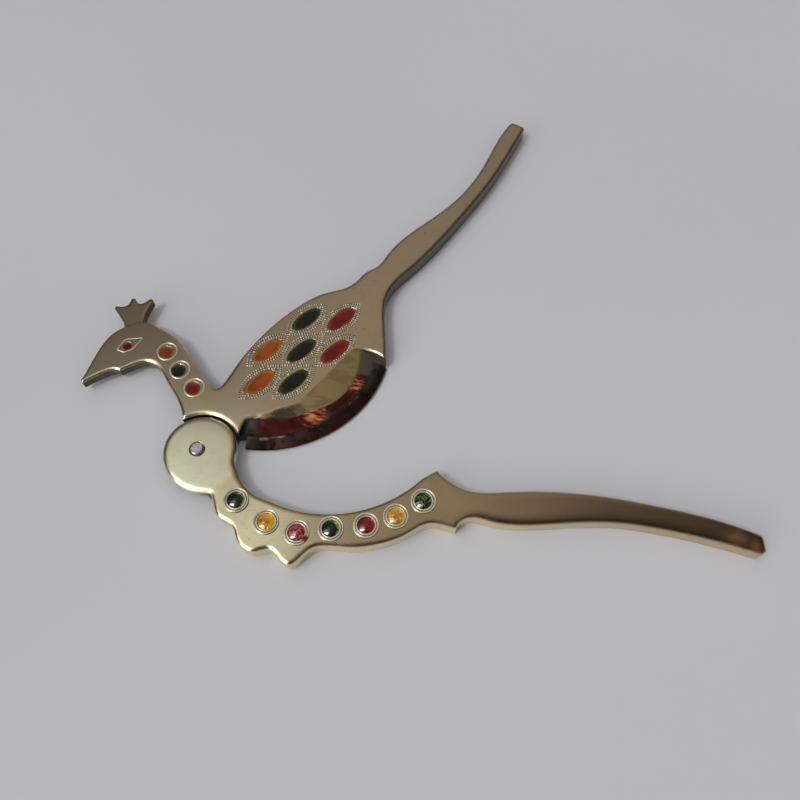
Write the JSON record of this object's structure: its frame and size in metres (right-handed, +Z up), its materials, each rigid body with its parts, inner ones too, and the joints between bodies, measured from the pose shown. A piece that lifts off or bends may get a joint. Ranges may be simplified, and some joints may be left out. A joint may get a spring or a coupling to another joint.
{
  "type": "nutcracker",
  "caption": "Hand lever nut cutter: a brass bird whose tail is the upper handle, with a steel blade let into its belly, riveted over a studded lower arm.",
  "frame": {"origin": "middle of the open cutter's outline, on the surface that it lies on", "axes": "+X from the bird's beak towards the end of the lower handle, +Y from the lower arm towards the end of the bird's handle, +Z up out of the decorated face"},
  "size_m": [0.2148, 0.178, 0.0069],
  "materials": {
    "brass": "satin, worn",
    "steel": "ground, darkened",
    "rivet_steel": "peened",
    "green_enamel": "gloss enamel, worn",
    "dark_green_enamel": "gloss enamel, worn",
    "red_enamel": "gloss enamel, worn",
    "orange_enamel": "gloss enamel, worn",
    "green_stone": "polished cabochon",
    "amber_stone": "polished cabochon",
    "red_stone": "polished cabochon"
  },
  "bodies": {
    "lower_arm": {"lower_arm": "brass", "pivot_rivet": "rivet_steel", "stone_bezel_1": "brass", "stone_bezel_2": "brass", "stone_bezel_3": "brass", "stone_bezel_4": "brass", "stone_bezel_5": "brass", "stone_bezel_6": "brass", "stone_bezel_7": "brass", "stone_1": "green_stone", "stone_2": "amber_stone", "stone_3": "red_stone", "stone_4": "green_stone", "stone_5": "red_stone", "stone_6": "amber_stone", "stone_7": "green_stone"},
    "bird_arm": {"upper_arm": "brass", "blade": "steel", "leaf_enamel_1": "green_enamel", "leaf_enamel_2": "red_enamel", "leaf_enamel_3": "orange_enamel", "leaf_enamel_4": "green_enamel", "leaf_enamel_5": "red_enamel", "leaf_enamel_6": "orange_enamel", "leaf_enamel_7": "green_enamel", "neck_enamel_1": "orange_enamel", "neck_enamel_2": "dark_green_enamel", "neck_enamel_3": "red_enamel", "eye_enamel": "red_enamel"}
  },
  "joints": [
    {"name": "rivet_hinge", "type": "hinge", "parent": "lower_arm", "child": "bird_arm", "pos_m": [-0.06555, -0.05225, 0.003], "axis": [0, 0, 1], "range_deg": [-39, 60]}
  ]
}
